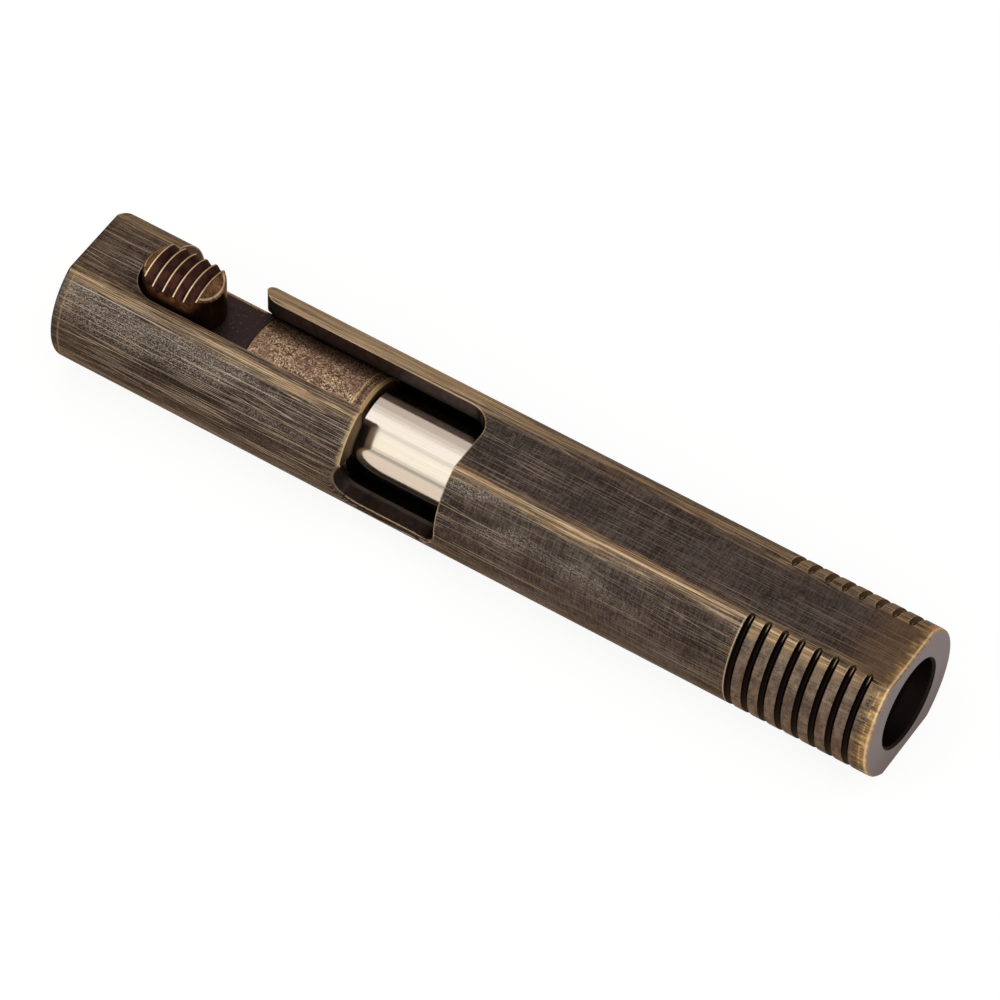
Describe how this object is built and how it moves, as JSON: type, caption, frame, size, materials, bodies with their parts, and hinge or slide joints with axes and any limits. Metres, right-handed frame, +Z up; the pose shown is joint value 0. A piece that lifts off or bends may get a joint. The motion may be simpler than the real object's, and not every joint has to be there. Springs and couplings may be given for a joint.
{
  "type": "bolt-action push rod",
  "caption": "Flatted brass bar with a long slot, locking leg and side port; a thumb-button bolt inside slides a polished rod towards the front bore.",
  "frame": {"origin": "centre of the bottom flat, under the middle of the bar's length", "axes": "+X along the bore towards the muzzle, +Y towards the locking leg's side, +Z up through the thumb button"},
  "size_m": [0.09, 0.015, 0.0154],
  "materials": {
    "aged_brass": "antiqued dark brass, brushed along its length, worn to bright brass on the edges",
    "button_brass": "antiqued brass, worn on the crests",
    "bolt_brass": "mottled antiqued brass",
    "polished_steel": "mirror polished",
    "black_steel": "black oxide",
    "spring_steel": "bright drawn",
    "black_rubber": "matte"
  },
  "bodies": {
    "receiver_body": {"receiver": "aged_brass", "rear_plug": "aged_brass", "plug_o_ring": "black_rubber"},
    "bolt_body": {"bolt": "bolt_brass", "thumb_button": "button_brass", "button_set_screw": "black_steel", "push_rod": "polished_steel", "rod_pin": "spring_steel", "detent_spring": "spring_steel"},
    "detent_body": {"detent_ball": "spring_steel"}
  },
  "joints": [
    {"name": "bolt_slide", "type": "slide", "parent": "receiver_body", "child": "bolt_body", "axis": [1, 0, 0], "range_m": [0, 0.028]},
    {"name": "detent_press", "type": "slide", "parent": "bolt_body", "child": "detent_body", "axis": [0, 0, 1], "range_m": [0, 0.0004], "stiffness_N_per_m": 400, "springref_m": -0.0006, "deforming": ["detent_spring"]}
  ]
}
